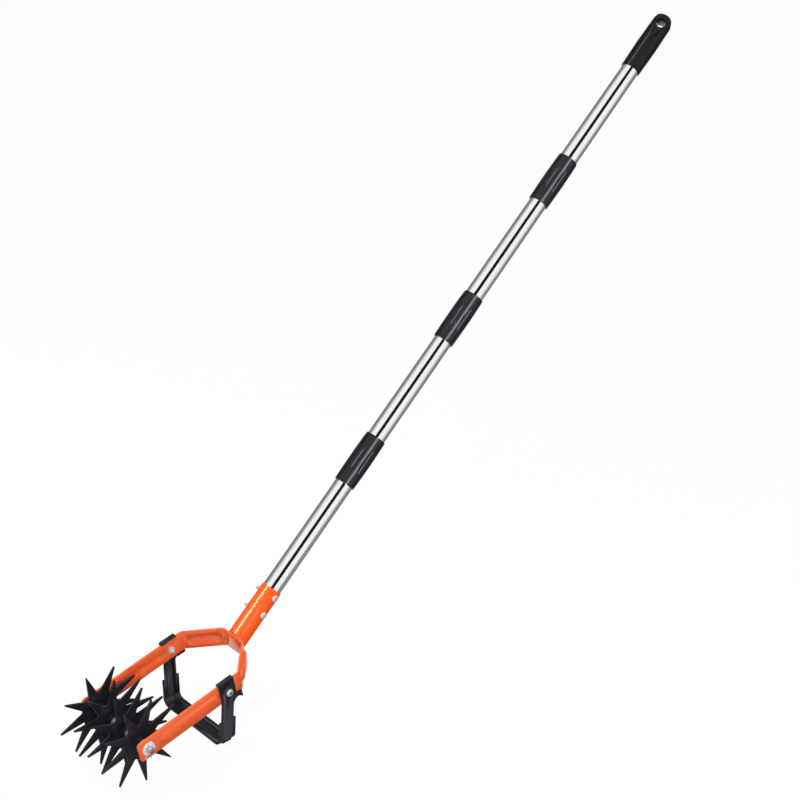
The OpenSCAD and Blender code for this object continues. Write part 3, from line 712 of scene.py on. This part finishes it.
# %% Screws
FACE_RIGHT = Matrix.Rotation(pi / 2, 4, "Y")
FACE_LEFT = Matrix.Rotation(-pi / 2, 4, "Y")
SOCKET_D = 28 * MM
SOCKET_SCREW_S = (50 * MM, 76 * MM)
SOCKET_SCREW_TURN = (radians(20), radians(65))
SOCKET_SCREW_D = 4 * MM
SOCKET_SCREW = {"d": SOCKET_SCREW_D, "head_d": 2.35 * SOCKET_SCREW_D, "length": 36.2 * MM,
                "thread_l": 8 * MM, "pitch": 0.7 * MM}
HOE_SCREW_Y = 122.5 * MM
HOE_HEAD_X = 63.6 * MM
HOE_SCREW_TURN = radians(35)
HOE_SCREW_D = 5 * MM
HOE_SCREW = {"d": HOE_SCREW_D, "head_d": 1.9 * HOE_SCREW_D, "length": 14.2 * MM,
             "thread_l": 7 * MM, "pitch": 0.8 * MM}

bm = bmesh.new()
for along, turn in zip(SOCKET_SCREW_S, SOCKET_SCREW_TURN):
    place = POLE @ Matrix.Translation((SOCKET_D / 2, 0, along)) @ FACE_RIGHT
    pan_screw(bm, place, turn, **SOCKET_SCREW)
screws = add_piece("socket_screws_dressed", bm, zinc_screw, "frame")
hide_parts("socket_screws")
print(screws.name, len(screws.data.polygons), "faces")

bm = bmesh.new()
for side, facing in ((1, FACE_RIGHT), (-1, FACE_LEFT)):
    place = HEAD @ Matrix.Translation((side * HOE_HEAD_X, HOE_SCREW_Y, 0)) @ facing
    pan_screw(bm, place, HOE_SCREW_TURN, **HOE_SCREW)
screws = add_piece("hoe_screws_dressed", bm, zinc_screw, "frame")
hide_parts("hoe_screws")
print(screws.name, len(screws.data.polygons), "faces")

# %% [markdown]
# Each screw is held by a hexagon nut. A nut is turned before its flats are cut, which leaves a
# slanted round edge on its outer face. So it is made as a turned ring, and then a six-sided prism
# keeps what lies inside its flats.

# %% Nuts
NUT_HEIGHT = 0.8
NUT_FLATS = 1.75
NUT_CHAMFER = 0.95
NUT_GAP = 0.04 * MM
PRISM_REACH = 3
HOE_NUT_X = 56.5 * MM


def hex_nut(bm, place, d):
    height = NUT_HEIGHT * d
    flat_r = NUT_FLATS * d / 2
    corner_r = flat_r / cos(pi / 6)
    chamfer_r = NUT_CHAMFER * flat_r
    chamfer_h = (corner_r - chamfer_r) * tan(pi / 6)
    bore_r = d / 2 + NUT_GAP
    ring = lathe([(bore_r, height), (chamfer_r, height), (corner_r, height - chamfer_h),
                  (corner_r, 0), (bore_r, 0), (bore_r, height)])
    prism = bmesh.new()
    bmesh.ops.create_cone(prism, cap_ends=True, segments=6, radius1=corner_r, radius2=corner_r,
                          depth=PRISM_REACH * height)
    pour_into(bm, carve(ring, prism, "INTERSECT"), place)


bm = bmesh.new()
for along in SOCKET_SCREW_S:
    place = POLE @ Matrix.Translation((-SOCKET_D / 2, 0, along)) @ FACE_LEFT
    hex_nut(bm, place, SOCKET_SCREW_D)
nuts = add_piece("socket_nuts_dressed", bm, zinc_plate, "frame")
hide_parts("socket_nuts")
print(nuts.name, len(nuts.data.polygons), "faces")

bm = bmesh.new()
for side, facing in ((1, FACE_LEFT), (-1, FACE_RIGHT)):
    place = HEAD @ Matrix.Translation((side * HOE_NUT_X, HOE_SCREW_Y, 0)) @ facing
    hex_nut(bm, place, HOE_SCREW_D)
nuts = add_piece("hoe_nuts_dressed", bm, zinc_plate, "frame")
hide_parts("hoe_nuts")
print(nuts.name, len(nuts.data.polygons), "faces")

# %% [markdown]
# The socket is welded to the crossbar. A weld is a row of small puddles, each of which overlaps the
# one before it, so it is made as a row of flattened balls along the seam on both sides. The seam
# is where the round socket meets the flat strip.

# %% Weld beads at the foot of the socket
FORK_L = 184.5 * MM
WELD_R = 1.9 * MM
WELD_LOW, WELD_HIGH, WELD_STEPS = radians(-56), radians(42), 20
PUDDLE_SHAPE = (0.8, 0.8, 0.62)

bm = bmesh.new()
seam_foot = (FORK_L - POLE_FOOT) * tan(POLE_ANGLE)
for side in (-1, 1):
    for step in range(WELD_STEPS + 1):
        turn = WELD_LOW + (WELD_HIGH - WELD_LOW) * step / WELD_STEPS
        out = side * SOCKET_D / 2 * cos(turn)
        rise = seam_foot + SOCKET_D / 2 * sin(turn) / cos(POLE_ANGLE)
        puddle = bmesh.ops.create_uvsphere(bm, u_segments=12, v_segments=8, radius=WELD_R)["verts"]
        bmesh.ops.scale(bm, verts=puddle, vec=PUDDLE_SHAPE)
        bmesh.ops.translate(bm, verts=puddle, vec=(out, FORK_L, rise))
bmesh.ops.transform(bm, matrix=HEAD, verts=bm.verts)
weld = add_piece("socket_weld", bm, orange_paint, "frame")
print(weld.name, len(weld.data.polygons), "faces")

# %% [markdown]
# The pole is lit apart from the rest. The soft lamps leave out its tubes, couplers and grip, so
# that the tubes mirror the plain studio and the plastic stays black. Long, narrow lamps that lie
# along the pole then draw the streaks, as strip lights do in a studio: a sharp one on the upper
# side of the socket, a softer one on the couplers' ridges and a thin one on the left of the grip.
# Two broad, weak ones hide the lens card's black line on the couplers and the grip. A strip shows
# only as gloss, and only on the pieces that it is linked to.

# %% Strip lamps along the pole
STRIP_LENGTH = 3.0
STRIP_DISTANCE = 1.6
WARM = (1.0, 0.86, 0.6)


def strip_lamp(name, turn, width, watts, nodes, tint=(1, 1, 1)):
    lamp = area_lamp(name, width, STRIP_LENGTH, watts)
    lamp.data.color = tint
    lamp.matrix_world = beside_pole(turn, STRIP_DISTANCE)
    lamp.visible_diffuse = False
    receivers = bpy.data.collections.new(name + "_receivers")
    for node_name in nodes:
        receivers.objects.link(dressed[node_name])
    lamp.light_linking.receiver_collection = receivers
    return lamp


left_out = bpy.data.collections.new("left_out_by_soft_lamps")
for node_name in [*pole_tubes, *couplers, "end_grip"]:
    left_out.objects.link(dressed[node_name])
for member in left_out.collection_objects:
    member.light_linking.link_state = "EXCLUDE"
for lamp in soft_lamps:
    lamp.light_linking.receiver_collection = left_out
strips = [
    strip_lamp("paint_strip", turn=radians(-55), width=0.4, watts=310, nodes=["socket_tube"],
               tint=WARM),
    strip_lamp("moulding_strip", turn=radians(21), width=0.7, watts=34, nodes=couplers),
    strip_lamp("moulding_fill", turn=radians(-5), width=0.8, watts=6, nodes=couplers),
    strip_lamp("grip_strip", turn=radians(-56), width=0.3, watts=14, nodes=["end_grip"]),
    strip_lamp("grip_fill", turn=0.0, width=1.1, watts=9, nodes=["end_grip"])]
